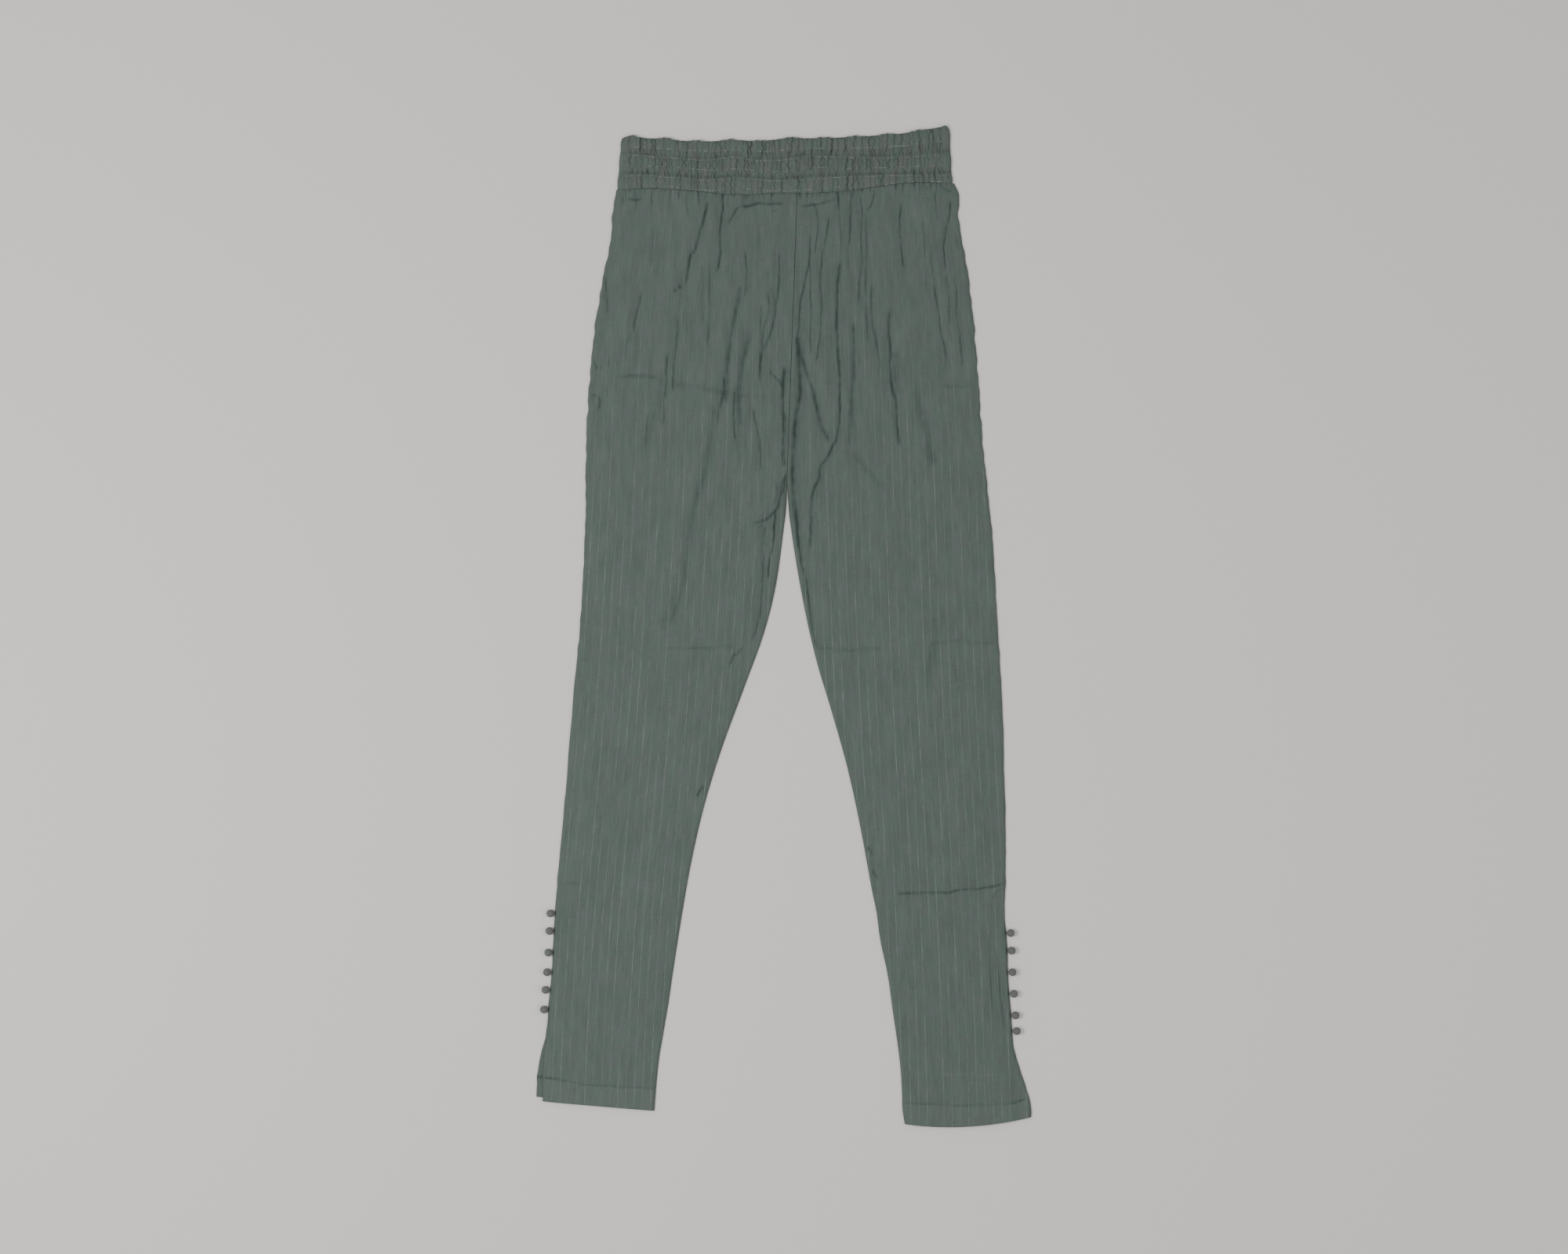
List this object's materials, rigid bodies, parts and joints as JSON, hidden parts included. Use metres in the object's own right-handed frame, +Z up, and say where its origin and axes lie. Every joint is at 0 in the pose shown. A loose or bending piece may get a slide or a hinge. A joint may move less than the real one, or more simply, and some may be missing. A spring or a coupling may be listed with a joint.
{
  "type": "slim pull-on pants laid flat",
  "caption": "Slim tapered pull-on pants in pinstriped cotton, laid flat with the front up, with an elastic waistband, slit hems and fabric ball buttons on the outer ankles.",
  "frame": {"origin": "middle of the laid-out pants' outline, on the surface they lie on", "axes": "+Z up from that surface, out of the front of the pants; +Y from the hems towards the waistband; +X towards the wearer's left leg"},
  "size_m": [0.505, 1.0207, 0.0082],
  "materials": {
    "cotton": "matt woven cotton, grey-green with a thin light pinstripe",
    "waistband": "the same cotton gathered over elastic and stitched in channels",
    "button_cloth": "balls covered in the same cotton, without the stripe"
  },
  "bodies": {
    "root": {"right_front": "cotton", "right_back": "cotton", "left_front": "cotton", "left_back": "cotton", "waistband_front": "waistband", "waistband_back": "waistband", "right_button_1": "button_cloth", "right_button_2": "button_cloth", "right_button_3": "button_cloth", "right_button_4": "button_cloth", "right_button_5": "button_cloth", "right_button_6": "button_cloth", "left_button_1": "button_cloth", "left_button_2": "button_cloth", "left_button_3": "button_cloth", "left_button_4": "button_cloth", "left_button_5": "button_cloth", "left_button_6": "button_cloth"}
  },
  "joints": []
}
